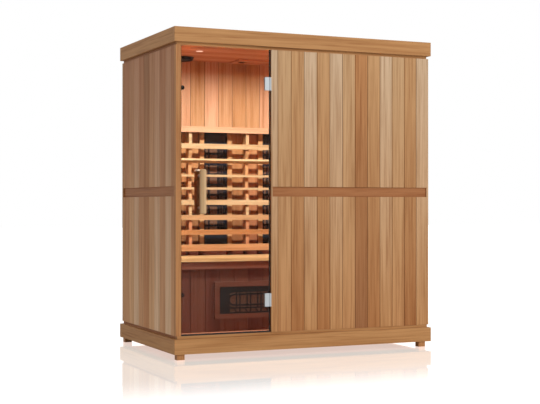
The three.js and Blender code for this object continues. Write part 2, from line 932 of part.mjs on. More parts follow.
// Backrest: ribs with a shallow hollow behind the small of the back, and eight slats across them
const hollow_top = slat_levels_upright[0] - slat_face / 2 - hollow_margin;
const hollow_upper = slat_level_tilted + hollow_margin;
const hollow_lower = slat_levels_flat[1] - hollow_margin * 2;
const hollow_bottom = slat_levels_upright[1] + slat_face / 2 + hollow_margin;
const rib_front = slat_back - rib_notch;
const rib_back = room_y - fit_gap;
const rib_top = lip_top;
const rib_outline = [
  [rib_back, rib_bottom],
  [rib_back, rib_top],
  [slat_back + fit_gap, rib_top],
  [slat_back + fit_gap, upper_panel_bottom - fit_gap],
  [rib_front, upper_panel_bottom - fit_gap],
];
const curve_steps = 6;
for (const [from, to, start, depth] of [
  [hollow_top, hollow_upper, rib_front, hollow_depth],
  [hollow_lower, hollow_bottom, rib_front + hollow_depth, -hollow_depth],
]) {
  for (let step = 0; step <= curve_steps; step += 1) {
    const part = step / curve_steps;
    const ease = (1 - Math.cos(Math.PI * part)) / 2;
    rib_outline.push([start + depth * ease, from + (to - from) * part]);
  }
}
rib_outline.push([rib_front, rib_bottom]);
rib_outline.reverse();
const slat_end = back_x - slat_end_gap;
const rib_centres = [-slat_end + rib_width / 2, -rib_spacing, 0, rib_spacing, slat_end - rib_width / 2];
const rest_pieces = rib_centres.map((x) =>
  lengthwisePrism(rib_outline, x - rib_width / 2, x + rib_width / 2),
);
const upright_slats = slat_levels_upright.map((z) => [z, slat_face]);
upright_slats.push([lowest_slat_level, lowest_slat_face]);
for (const [z, face] of upright_slats) {
  rest_pieces.push(
    slab(-slat_end, slat_end, backrest_front, slat_back, z - face / 2, z + face / 2),
  );
}
const flat_front = backrest_front - flat_slat_lead;
const flat_back = flat_front + slat_face;
for (const z of slat_levels_flat) {
  rest_pieces.push(
    slab(-slat_end, slat_end, flat_front, flat_back, z - slat_thickness / 2, z + slat_thickness / 2),
  );
}
const tilted = slab(
  -slat_end,
  slat_end,
  -slat_thickness / 2,
  slat_thickness / 2,
  -slat_face / 2,
  slat_face / 2,
);
tilted.rotateX(THREE.MathUtils.degToRad(slat_tilt));
tilted.translate(0, flat_front + slat_face / 2, slat_level_tilted);
rest_pieces.push(tilted);
place("backrest", joined(...rest_pieces), wood_slat);

const panel_joints = jointsBetween(-back_x, back_x, lining_pitch, upper_panel_joint);
const panel_edge = groovedEdge(-back_x, back_x, backrest_front, 1, panel_joints);
place(
  "upper_back_panel",
  joined(
    uprightPrism(
      [...panel_edge, [back_x, slat_back], [-back_x, slat_back]],
      upper_panel_bottom + upper_rail_height,
      lip_top,
    ),
    slab(
      -back_x,
      back_x,
      backrest_front,
      slat_back,
      upper_panel_bottom,
      upper_panel_bottom + upper_rail_height + join_overlap,
    ),
  ),
  wood_room,
);

// Heaters between the battens of the back wall, each with columns of openings in its guard
for (const [side, centre] of [
  ["left", -back_heater_offset],
  ["right", back_heater_offset],
]) {
  const half = back_heater_width / 2;
  const back = room_y - fit_gap;
  const face = back - back_heater_thickness;
  const first_row = back_heater_bottom + back_guard_margin;
  const rows = Math.floor((back_heater_top - back_guard_margin - first_row) / back_guard_pitch);
  const openings = [];
  for (const [offset, width] of back_guard_columns) {
    for (let row = 0; row < rows; row += 1) {
      const bottom = first_row + row * back_guard_pitch;
      openings.push(
        slab(
          centre + offset - width / 2,
          centre + offset + width / 2,
          face - join_overlap,
          face + guard_recess,
          bottom,
          bottom + back_guard_pitch - back_guard_bar,
        ),
      );
    }
  }
  const box = slab(centre - half, centre + half, face, back, back_heater_bottom, back_heater_top);
  place(`back_heater_${side}`, cut(box, ...openings), black_enamel);
}

// Ceiling fittings
for (const [side, x] of [
  ["left", -downlight_x],
  ["right", downlight_x],
]) {
  const seat_top = ceiling_level + downlight_body_height;
  const light = joined(
    roundAlongZ(downlight_body_radius, x, downlight_y, ceiling_level - join_overlap, seat_top),
    roundAlongZ(
      downlight_radius,
      x,
      downlight_y,
      ceiling_level - fit_gap - downlight_bezel,
      ceiling_level - fit_gap,
    ),
  );
  place(`downlight_${side}`, light, white_lens);
}
const speaker_top = ceiling_level - fit_gap;
const speaker_bottom = speaker_top - speaker_height;
const speaker = new THREE.CylinderGeometry(
  speaker_radius,
  speaker_radius - speaker_taper,
  speaker_height,
  40,
);
speaker.rotateX(Math.PI / 2).translate(speaker_x, speaker_y, speaker_top - speaker_height / 2);
const grille = roundAlongZ(
  grille_radius,
  speaker_x,
  speaker_y,
  speaker_bottom - join_overlap,
  speaker_bottom + grille_recess,
  40,
);
place("ceiling_speaker", cut(speaker, grille), black_enamel);

// Roof vent: a frame under the ceiling hole and a shutter that slides along X in its grooves
const vent_top = ceiling_level - fit_gap;
const vent_bottom = vent_top - vent_thickness;
const vent_right = vent_left + vent_length;
const shutter_bottom = vent_bottom + (vent_thickness - shutter_thickness) / 2;
const shutter_top = shutter_bottom + shutter_thickness;
place(
  "vent_frame",
  cut(
    slab(vent_left, vent_right, vent_front, vent_back, vent_bottom, vent_top),
    slab(
      hole_left,
      vent_right - vent_border,
      hole_front,
      hole_back,
      vent_bottom - join_overlap,
      vent_top + join_overlap,
    ),
    slab(
      hole_left,
      vent_right - vent_border,
      hole_front - shutter_lap - fit_gap,
      hole_back + shutter_lap + fit_gap,
      shutter_bottom - fit_gap,
      shutter_top + fit_gap,
    ),
  ),
  wood_room,
);
place(
  "vent_shutter",
  cut(
    slab(
      shutter_left,
      shutter_left + shutter_length,
      hole_front - shutter_lap,
      hole_back + shutter_lap,
      shutter_bottom,
      shutter_top,
    ),
    roundAlongZ(
      finger_radius,
      shutter_left + finger_radius * 3,
      (hole_front + hole_back) / 2,
      shutter_bottom - join_overlap,
      shutter_bottom + finger_depth,
    ),
  ),
  wood_room,
);

// Control panel inside, right of the door, and the power inlet in the roof tray
place(
  "control_panel",
  slab(
    control_x - control_width / 2,
    control_x + control_width / 2,
    rail_back + fit_gap,
    rail_back + fit_gap + control_thickness,
    control_level - control_height / 2,
    control_level + control_height / 2,
  ),
  black_enamel,
);
const inlet_bottom = cover_level + cover_thickness + fit_gap;
const inlet_back = half_depth - inlet_from_back;
const inlet_box = slab(
  -inlet_width / 2,
  inlet_width / 2,
  inlet_back - inlet_depth,
  inlet_back,
  inlet_bottom,
  inlet_bottom + inlet_height,
);
const gland = roundAlongY(
  gland_radius,
  0,
  inlet_bottom + inlet_height / 2,
  inlet_back - join_overlap,
  inlet_back + gland_length,
);
place("power_inlet", joined(inlet_box, gland), black_enamel);

export default cabin;
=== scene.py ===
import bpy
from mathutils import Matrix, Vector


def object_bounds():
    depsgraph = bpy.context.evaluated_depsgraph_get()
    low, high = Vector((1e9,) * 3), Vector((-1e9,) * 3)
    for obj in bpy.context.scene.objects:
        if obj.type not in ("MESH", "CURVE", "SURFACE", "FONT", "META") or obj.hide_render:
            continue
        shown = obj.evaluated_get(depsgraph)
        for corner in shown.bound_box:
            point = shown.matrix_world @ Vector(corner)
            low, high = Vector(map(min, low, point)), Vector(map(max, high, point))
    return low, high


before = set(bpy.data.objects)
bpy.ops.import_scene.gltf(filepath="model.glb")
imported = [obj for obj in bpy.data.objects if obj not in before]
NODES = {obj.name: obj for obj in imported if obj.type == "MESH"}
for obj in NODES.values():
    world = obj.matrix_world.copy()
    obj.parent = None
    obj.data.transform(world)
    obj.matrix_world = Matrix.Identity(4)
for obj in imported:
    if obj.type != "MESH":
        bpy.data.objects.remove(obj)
cad_box = [list(corner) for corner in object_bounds()]

import math

import bpy
from bpy.props import FloatProperty, FloatVectorProperty, PointerProperty
from mathutils import Vector

bl_info = {
    "name": "Infrared Sauna Cabin",
    "version": (1, 0, 0),
    "blender": (4, 5, 0),
    "location": "View3D > Sidebar > Sauna",
    "description": "Finishes the timber, glass, metal and lamps of a three-seat infrared sauna cabin",
    "category": "Object",
}

MM = 0.001

# Pieces behind the sitters, which have a lamp of their own
BEHIND = ("backrest", "back_wall_lining", "back_heater_left", "back_heater_right", "bench_seat")

# Order of the cedar tones: along the front from the right corner to the doorway, along the sides from the
# back corner to the door, and across the room from left to right
FRONT_ORDER = "pale amber straw pale amber brown straw pale amber pale amber straw pale".split()
SIDE_ORDER = "straw amber straw pale amber brown straw pale amber pale amber".split()
ROOM_ORDER = "pale straw amber straw pale brown amber straw brown".split()
PANEL_ORDER = "pale straw amber pale amber pale straw brown amber".split()
BENCH_ORDER = "amber brown amber amber brown".split()
LINING_ORDER = "straw pale straw straw pale straw straw pale straw".split()
CEILING_ORDER = "pale straw".split()

# Forms within a CAD node that get a tone of their own, measured from the node's edges. The apron, the lowest
# slats, the vent lip and the handle end carry painted light and shade
RAIL_RECESS = 9 * MM
RAIL_SKIN = 3.5 * MM
LINING_SKIN = 5.5 * MM
PANEL_RAIL_HEIGHT = 38 * MM
APRON_HEIGHT = 48 * MM
SLAT_DEPTH = 17.5 * MM
SLAT_HEIGHT = 34 * MM
LOWEST_SLAT_HEIGHT = 44 * MM
SECOND_SLAT_RISE = 109.5 * MM
THIRD_SLAT_RISE = 209.5 * MM
VENT_LIP = 7 * MM
HANDLE_END = 10 * MM
GUARD_SKIN = 1.5 * MM
FACE_PLAY = 0.5 * MM

# Shades that the growth lines and the bands of heartwood give the timber, from dark to light
LINE_SHADES = [(0.32, (0.74, 0.64, 0.56, 1)), (0.5, (1.0, 1.0, 1.0, 1)), (0.70, (1.09, 1.10, 1.11, 1))]
BAND_SHADES = [(0.30, (0.80, 0.71, 0.62, 1)), (0.5, (1.0, 1.0, 1.0, 1)), (0.72, (1.08, 1.10, 1.13, 1))]
LINE_SHARE = 0.85
BAND_SHARE = 0.8

# Dark line between two boards: how dark it is, and the share of its width that is darkest
JOINT_SHADE = 0.4
JOINT_CORE = 0.3

# Floor sheet, in metres from the cabin: where its mirror fades, and where its painted warm glow reaches
FLOOR_REACH = 40.0
MIRROR_FADE = (0.5, 2.2)
MIRROR_SHARE = 0.6
WARM_REACH = (-0.1, 1.9)
WARM_SHADES = [(0.04, (1.3, 1.03, 0.92, 1)), (0.08, (1.1, 1.01, 0.92, 1)), (0.8, (1.0, 1.0, 1.0, 1))]
GLOW_SHARE = 0.62
GLOW_STRENGTH = 2.2

SENSOR_WIDTH = 36
EDGE_ANGLE = math.radians(40)


def low(name, axis):
    """Lowest place of a CAD node along an axis, in metres."""
    return min(corner.co["XYZ".index(axis)] for corner in NODES[name].data.vertices)


def high(name, axis):
    """Highest place of a CAD node along an axis, in metres."""
    return max(corner.co["XYZ".index(axis)] for corner in NODES[name].data.vertices)


# Foot and top of the walls, between which their tones change as painted light falling off with height
WALL_RISE = (low("front_wall_core", "Z"), high("front_wall_core", "Z"))


def linear(text):
    """Linear red, green, blue and alpha of an sRGB hex colour."""
    parts = [int(text[i:i + 2], 16) / 255 for i in (0, 2, 4)]
    return tuple(c / 12.92 if c <= 0.04045 else ((c + 0.055) / 1.055) ** 2.4 for c in parts) + (1.0,)


def length(name, description, default):
    """Property for a length in metres."""
    return FloatProperty(name=name, description=description, default=default, unit="LENGTH")


def place(name, description, default):
    """Property for a place in metres."""
    return FloatVectorProperty(
        name=name,
        description=description,
        default=default,
        subtype="TRANSLATION",
        unit="LENGTH",
    )


def power(name, description, default):
    """Property for the power of a lamp in watts."""
    return FloatProperty(name=name, description=description, default=default, min=0, unit="POWER")


def turn(name, description, degrees):
    """Property for an angle."""
    return FloatProperty(name=name, description=description, default=math.radians(degrees), subtype="ANGLE")


def colour(name, description, text):
    """Property for a colour, whose default is an sRGB hex value."""
    return FloatVectorProperty(
        name=name,
        description=description,
        default=linear(text),
        size=4,
        min=0,
        max=1,
        subtype="COLOR",
    )


def put(tree, kind, sockets=None, **settings):
    """Add a node: settings are its attributes, and each socket gets a value or a link."""
    made = tree.nodes.new(kind)
    for name, value in settings.items():
        setattr(made, name, value)
    for socket, value in (sockets or {}).items():
        if isinstance(value, bpy.types.NodeSocket):
            tree.links.new(value, made.inputs[socket])
        else:
            made.inputs[socket].default_value = value
    return made


def start_material(name):
    """An empty node material, with its tree."""
    material = bpy.data.materials.new(name)
    material.use_nodes = True
    material.node_tree.nodes.clear()
    return material, material.node_tree


def fill_ramp(ramp, stops, interpolation="LINEAR"):
    """Give a colour ramp its stops, as pairs of place and colour."""
    ramp.interpolation = interpolation
    elements = ramp.elements
    while len(elements) > 1:
        elements.remove(elements[-1])
    elements[0].position = stops[0][0]
    elements[0].color = stops[0][1]
    for at, shade in stops[1:]:
        elements.new(at).color = shade


class CabinSizes(bpy.types.PropertyGroup):
    """Sizes of the timber's grain, boards and edges"""

    grain_spacing: length(
        "Grain Spacing",
        "Distance between the growth lines, drawn six times too coarse so that they show",
        11 * MM,
    )
    grain_run: length("Grain Run", "Length over which a growth line keeps its tone", 420 * MM)
    figure_width: length("Figure Width", "Width of the bands of heartwood within a board", 34 * MM)
    figure_run: length("Figure Run", "Length of the bands of heartwood", 900 * MM)
    pore_depth: length("Pore Depth", "Depth of the open grain", 0.25 * MM)
    front_pitch: length("Front Board Pitch", "Width that each front board covers", 88.8 * MM)
    front_start: length("Front Board Start", "Right edge of the first front board, along X", 861 * MM)
    side_pitch: length("Side Board Pitch", "Width that each side board covers", 101.9 * MM)
    side_start: length("Side Board Start", "Back edge of the first side board, along Y", 602.9 * MM)
    lining_pitch: length("Lining Board Pitch", "Width that each board of the lining covers", 101.2 * MM)
    side_lining_start: length("Side Lining Start", "A joint of the lining on the sides, along Y", 513 * MM)
    panel_start: length("Panel Start", "A joint of the upper back panel, along X", 84 * MM)
    lining_start: length("Lining Start", "A joint of the back wall lining, along X", -95 * MM)
    bench_start: length("Bench Start", "A joint of the boards below the bench, along X", -48 * MM)
    ceiling_pitch: length("Ceiling Board Pitch", "Width that each board of the ceiling covers", 107 * MM)
    ceiling_start: length("Ceiling Start", "A joint of the ceiling, along Y", 267 * MM)
    joint_width: length("Joint Width", "Width of the dark line where two boards meet", 4 * MM)
    panel_joint: length("Panel Joint", "Width of that line on the upper back panel", 4.5 * MM)
    timber_edge: length("Timber Edge", "Width of the eased edge on planed timber", 1.2 * MM)
    metal_edge: length("Metal Edge", "Width of the broken edge on metal and rubber", 0.6 * MM)
    brush_spacing: length("Brush Spacing", "Distance between the brush lines on the steel", 0.6 * MM)
    brush_run: length("Brush Run", "Length of a brush line on the steel", 60 * MM)
    enamel_speck: length("Enamel Speck", "Size of the specks in the enamel", 2 * MM)
    rubber_skin: length("Rubber Skin", "Size of the spots in the skin of the rubber", 1.5 * MM)
    plastic_grain: length("Plastic Grain", "Size of the grain moulded into the plastic", 1.2 * MM)


class CabinColours(bpy.types.PropertyGroup):
    """Colours of the finishes"""

    # Painted light: each front tone is paler at the top and darker and more orange at the foot, where less
    # light falls
    pale_top: colour("Pale, Top", "Palest cedar, high on the front", "c9aa89")
    pale_foot: colour("Pale, Foot", "Palest cedar, low on the front", "be8a59")
    straw_top: colour("Straw, Top", "Straw cedar, high on the front", "c0996f")
    straw_foot: colour("Straw, Foot", "Straw cedar, low on the front", "bc8757")
    amber_top: colour("Amber, Top", "Amber cedar, high on the front", "be9163")
    amber_foot: colour("Amber, Foot", "Amber cedar, low on the front", "ab7243")
    brown_top: colour("Brown, Top", "Heartwood, high on the front", "b57e4e")
    brown_foot: colour("Brown, Foot", "Heartwood, low on the front", "9a663f")
    # Painted light: each side tone is darker at the top and brighter at the foot, standing for light thrown
    # up from the floor
    pale_side_top: colour("Pale, Side Top", "Palest cedar, high on a side", "b9845f")
    pale_side_foot: colour("Pale, Side Foot", "Palest cedar, low on a side", "e1ba93")
    straw_side_top: colour("Straw, Side Top", "Straw cedar, high on a side", "b07b53")
    straw_side_foot: colour("Straw, Side Foot", "Straw cedar, low on a side", "daa979")
    amber_side_top: colour("Amber, Side Top", "Amber cedar, high on a side", "a97048")
    amber_side_foot: colour("Amber, Side Foot", "Amber cedar, low on a side", "ce996b")
    brown_side_top: colour("Brown, Side Top", "Heartwood, high on a side", "9b6941")
    brown_side_foot: colour("Brown, Side Foot", "Heartwood, low on a side", "c18656")
    trim: colour("Trim", "Plinth and roof boards", "b98654")
    rail: colour("Rail", "Recessed middle rails", "a86f45")
    stile: colour("Stile", "Stile beside the doorway", "b78050")
    room_pale: colour("Room, Pale", "Palest boards of the lining", "c28358")
    room_straw: colour("Room, Straw", "Straw boards of the lining", "b67449")
    room_amber: colour("Room, Amber", "Amber boards of the lining", "ab6840")
    room_brown: colour("Room, Brown", "Darkest boards of the lining", "9c5a37")
    panel_pale: colour("Panel, Pale", "Palest boards of the upper panel", "bc9577")
    panel_straw: colour("Panel, Straw", "Straw boards of the upper panel", "b28d6a")
    panel_amber: colour("Panel, Amber", "Amber boards of the upper panel", "ac8661")
    panel_brown: colour("Panel, Brown", "Darkest boards of the upper panel", "a7805a")
    panel_rail: colour("Panel Rail", "Rail below the upper panel", "c49d7e")
    # Painted shade: the boards below the bench, their apron and the bench heater's frame get dark red tones
    # that stand for the shade under the seat; the apron is darkened less than the boards below it
    bench_amber: colour("Bench, Amber", "Dark red boards below the bench", "7c5344")
    bench_brown: colour("Bench, Brown", "Darkest boards below the bench", "72493d")
    apron: colour("Apron", "Apron under the bench seat", "926251")
    ceiling_pale: colour("Ceiling, Pale", "Paler boards of the ceiling", "c89376")
    ceiling_straw: colour("Ceiling, Straw", "Boards of the ceiling", "ba8162")
    # Painted light: the back wall's lining runs from these tops at the upper panel to darker, redder feet at
    # the bench, where less light falls
    pale_lining_top: colour("Pale, Lining Top", "Paler lining of the back wall, high", "d6a474")
    pale_lining_foot: colour("Pale, Lining Foot", "Paler lining of the back wall, at the bench", "8f563b")
    straw_lining_top: colour("Straw, Lining Top", "Lining of the back wall, high", "ca9765")
    straw_lining_foot: colour("Straw, Lining Foot", "Lining of the back wall, at the bench", "7a4f33")
    slat: colour("Slat", "Sanded slats", "bba47f")
    # Painted shade: the three lowest slats are the same sanded cedar as the others, painted darker where less
    # light reaches them
    slat_third: colour("Third Slat", "Third slat from below", "b18f69")
    slat_second: colour("Second Slat", "Second slat from below", "a8774d")
    slat_lowest: colour("Lowest Slat", "Lowest slat", "b2865e")
    # Painted light and shade: the ribs run from pale at the top to dark red at the foot, with a tone of their
    # own between the lowest slats, following how the light falls on them
    rib_top: colour("Rib, Top", "Ribs of the backrest, high", "cdb580")
    rib_foot: colour("Rib, Foot", "Ribs of the backrest, low", "a64f40")
    rib_low: colour("Rib, Low", "Ribs between the lowest slats", "b68260")
    batten: colour("Batten", "Battens beside the heaters", "bb976c")
    # Painted shade: a dark strip on the lining between the lowest slat and the bench, where it lies in shade
    painted_shade_strip: colour("Shade Strip", "Lining just above the bench", "5a2c20")
    # Painted shade: near black inside the vent and on the underside of the roof cover, standing for the unlit
    # void above the vent
    painted_vent_shade: colour("Vent Throat", "Dark stain inside the vent and above it", "120d0b")
    bench: colour("Bench", "Bench seat", "c0a072")
    handle: colour("Handle", "Turned handle outside", "cfab80")
    # Painted shade: the inner handle is the same ash as the outer one, painted darker
    handle_inner: colour("Inner Handle", "Turned handle inside", "966443")
    # Painted highlight: a near white cap on the inner handle's rounded end, where the light catches it
    handle_highlight: colour("Handle End", "Sealed end of the handle inside", "f8efe2")
    enamel: colour("Enamel", "Housing of the bench heater", "24292c")
    emitter: colour("Emitter", "Plates of the bench heater, behind its guard", "6d564a")
    # Painted light: the back heaters get their own copies of the enamel and plate colours, set to the light
    # on them; the back enamel is bluer as a painted sheen on the guard bars
    enamel_back: colour("Back Enamel", "Housings of the heaters on the back wall", "181e28")
    emitter_back: colour("Back Emitter", "Plates of the heaters on the back wall", "6a4f40")
    glass: colour("Glass", "Light that passes the door glass", "e4e4e0")
    rubber: colour("Rubber", "Seals and stops", "141414")
    steel: colour("Steel", "Hinges and bolts", "b5b9bb")
    acrylic: colour("Acrylic", "Lenses of the downlights", "f6f2ea")
    plastic: colour("Plastic", "Speaker, control panel and power inlet", "14181b")
    lens_glow: colour("Lens Glow", "Light on the lenses of the downlights", "ffffff")
    lamp: colour("Lamp", "Light in the room", "fffaf4")


class CabinStage(bpy.types.PropertyGroup):
    """Camera, lamps and sky of the studio"""

    camera_place: place("Camera Place", "Place of the camera", (-3.21996, -7.06204, 0.90549))
    camera_turn: turn("Camera Turn", "Turn of the camera from the depth axis towards the right", 24.305)
    camera_tilt: turn("Camera Tilt", "Tilt of the camera above the horizon", 0.178)
    camera_lens: FloatProperty(
        name="Camera Lens",
        description="Focal length on a sensor 36 mm wide",
        default=79.16,
        unit="CAMERA",
    )
    sky: FloatProperty(name="Sky", description="Strength of the even light", default=0.5, min=0)
    key: power("Key", "Power of the large lamp", 370)
    key_place: place("Key Place", "Place of the large lamp", (2.6, -8.2, 5.4))
    key_aim: place("Key Aim", "Point that the large lamp faces", (0, 0, 1.0))
    key_width: length("Key Width", "Width and height of the large lamp", 3.4)
    room: power("Room", "Power of the strip under the ceiling", 40)
    room_place: place("Room Place", "Place of the strip under the ceiling", (-0.15, -0.20, 1.866))
    room_length: length("Room Length", "Length of the strip", 1.3)
    room_width: length("Room Width", "Width of the strip", 0.02)
    room_spread: turn("Room Spread", "Angle that the strip's light spreads over", 171)
    back: power("Back", "Power of the lamp for the back wall", 1620)
    back_place: place("Back Place", "Place of the lamp for the back wall", (-0.71, -2.25, 3.97))
    back_radius: length("Back Radius", "Radius of the lamp for the back wall", 0.03)


def sizes():
    """The cabin's sizes, as the user has set them."""
    return bpy.context.scene.cabin_sizes


def colours():
    """The cabin's colours, as the user has set them."""
    return bpy.context.scene.cabin_colours


def grain_scale(along, spacing, run):
    """Noise cycles per metre along X, Y and Z, for a grain that runs along one axis."""
    return [1 / run if axis == along else 1 / spacing for axis in "XYZ"]


def cedar_face(tree, along, tones, boards=None, joint=None, rise=WALL_RISE):
    """Colour and growth-line sockets of planed cedar whose grain runs along an axis.

    tones are pairs of colours for the top and the foot of a rise, one pair for each board; where the two
    differ, the change between them is painted light falling off with height. boards gives the axis that the
    boards follow each other on, the edge of the first, and their pitch, negative where they run down the
    axis. joint is the width of the dark line between them.
    """
    spot = put(tree, "ShaderNodeTexCoord").outputs["Object"]
    axes = put(tree, "ShaderNodeSeparateXYZ", {"Vector": spot})
    number = 0.0
    share = 0.0
    if boards:
        axis, start, pitch = boards
        run = put(tree, "ShaderNodeMath", {0: axes.outputs[axis], 1: start}, operation="SUBTRACT")
        count = put(tree, "ShaderNodeMath", {0: run.outputs[0], 1: pitch}, operation="DIVIDE")
        number = put(tree, "ShaderNodeMath", {0: count.outputs[0]}, operation="FLOOR").outputs[0]
        rounds = put(tree, "ShaderNodeMath", {0: count.outputs[0], 1: len(tones)}, operation="DIVIDE")
        share = put(tree, "ShaderNodeMath", {0: rounds.outputs[0]}, operation="FRACT").outputs[0]
    ends = []
    for end in (0, 1):
        ramp = put(tree, "ShaderNodeValToRGB", {"Fac": share})
        stops = [(i / len(tones), pair[end]) for i, pair in enumerate(tones)]
        fill_ramp(ramp.color_ramp, stops, "CONSTANT")
        ends.append(ramp.outputs["Color"])
    height = put(
        tree,
        "ShaderNodeMapRange",
        {"Value": axes.outputs["Z"], "From Min": rise[0], "From Max": rise[1]},
    )
    tone = put(
        tree,
        "ShaderNodeMix",
        {0: height.outputs["Result"], 6: ends[1], 7: ends[0]},
        data_type="RGBA",
    )
    fine = put(
        tree,
        "ShaderNodeMapping",
        {"Vector": spot, "Scale": grain_scale(along, sizes().grain_spacing, sizes().grain_run)},
    )
    lines = put(
        tree,
        "ShaderNodeTexNoise",
        {"Vector": fine.outputs["Vector"], "W": number, "Scale": 1.0, "Detail": 3.0, "Roughness": 0.62},
        noise_dimensions="4D",
    )
    broad = put(
        tree,
        "ShaderNodeMapping",
        {"Vector": spot, "Scale": grain_scale(along, sizes().figure_width, sizes().figure_run)},
    )
    bands = put(
        tree,
        "ShaderNodeTexNoise",
        {"Vector": broad.outputs["Vector"], "W": number, "Scale": 1.0, "Detail": 2.0, "Distortion": 0.8},
        noise_dimensions="4D",
    )
    line_shade = put(tree, "ShaderNodeValToRGB", {"Fac": lines.outputs["Fac"]})
    fill_ramp(line_shade.color_ramp, LINE_SHADES)
    band_shade = put(tree, "ShaderNodeValToRGB", {"Fac": bands.outputs["Fac"]})
    fill_ramp(band_shade.color_ramp, BAND_SHADES)
    lined = put(
        tree,
        "ShaderNodeMix",
        {0: LINE_SHARE, 6: tone.outputs[2], 7: line_shade.outputs["Color"]},
        data_type="RGBA",
        blend_type="MULTIPLY",
    )
    timber = put(
        tree,
        "ShaderNodeMix",
        {0: BAND_SHARE, 6: lined.outputs[2], 7: band_shade.outputs["Color"]},
        data_type="RGBA",
        blend_type="MULTIPLY",
    )
    if boards:
        edge = put(tree, "ShaderNodeMath", {0: count.outputs[0], 1: 0.5}, operation="PINGPONG")
        half = (joint or sizes().joint_width) / 2 / abs(pitch)
        dark = put(
            tree,
            "ShaderNodeMapRange",
            {
                "Value": edge.outputs[0],
                "From Min": half * JOINT_CORE,
                "From Max": half,
                "To Min": JOINT_SHADE,
                "To Max": 1.0,
            },
        )
        timber = put(
            tree,
            "ShaderNodeMix",
            {0: 1.0, 6: timber.outputs[2], 7: dark.outputs["Result"]},
            data_type="RGBA",
            blend_type="MULTIPLY",
        )
    return timber.outputs[2], lines.outputs["Fac"]


def cedar(name, faces, roughness=0.56):
    """Planed cedar, whose faces are values for cedar_face.

    All faces but the first have within: an axis, and the least and greatest distance from the cabin's middle
    or, along Z, from the floor.
    """
    material, tree = start_material(name)
    spot = put(tree, "ShaderNodeTexCoord").outputs["Object"]
    axes = put(tree, "ShaderNodeSeparateXYZ", {"Vector": spot})
    shown, lines = cedar_face(tree, **faces[0])
    for face in faces[1:]:
        axis, least, greatest = face["within"]
        values = {key: value for key, value in face.items() if key != "within"}
        other, _ = cedar_face(tree, **values)
        away = put(tree, "ShaderNodeMath", {0: axes.outputs[axis]}, operation="ABSOLUTE")
        mask = put(
            tree,
            "ShaderNodeMath",
            {0: away.outputs[0], 1: (least + greatest) / 2, 2: (greatest - least) / 2 + FACE_PLAY},
            operation="COMPARE",
        )
        shown = put(
            tree,
            "ShaderNodeMix",
            {0: mask.outputs[0], 6: shown, 7: other},
            data_type="RGBA",
        ).outputs[2]
    gloss = put(
        tree,
        "ShaderNodeMapRange",
        {"Value": lines, "To Min": roughness + 0.08, "To Max": roughness - 0.06},
    )
    bump = put(
        tree,
        "ShaderNodeBump",
        {"Height": lines, "Strength": 0.35, "Distance": sizes().pore_depth},
    )
    shader = put(
        tree,
        "ShaderNodeBsdfPrincipled",
        {
            "Base Color": shown,
            "Roughness": gloss.outputs["Result"],
            "Normal": bump.outputs["Normal"],
            "IOR": 1.45,
            "Specular IOR Level": 0.2,
        },
    )
    put(tree, "ShaderNodeOutputMaterial", {"Surface": shader.outputs["BSDF"]})
    return material


def wall_tones(order, part=""):
    """Top and foot colours of boards in their order: the change from top to foot is painted light."""
    ends = [part + "_top", part + "_foot"]
    return [tuple(getattr(colours(), tone + end) for end in ends) for tone in order]


def room_tones(order, part):
    """Colours of boards in their order, the same at top and foot."""
    return [(getattr(colours(), part + tone),) * 2 for tone in order]


def one_tone(shade):
    """One colour for the whole of a face."""
    return [(shade, shade)]


def around(axis, middle, reach):
    """The stretch of an axis on both sides of a place."""
    return axis, middle - reach, middle + reach


def dress(names, material, edge=None):
    """Give CAD nodes a material and an eased edge."""
    for name in names:
        target = NODES[name]
        target.data.materials.clear()
        target.data.materials.append(material)
        if edge:
            bevel = target.modifiers.new("eased edge", "BEVEL")
            bevel.width = edge
            bevel.segments = 2
            bevel.limit_method = "ANGLE"
            bevel.angle_limit = EDGE_ANGLE


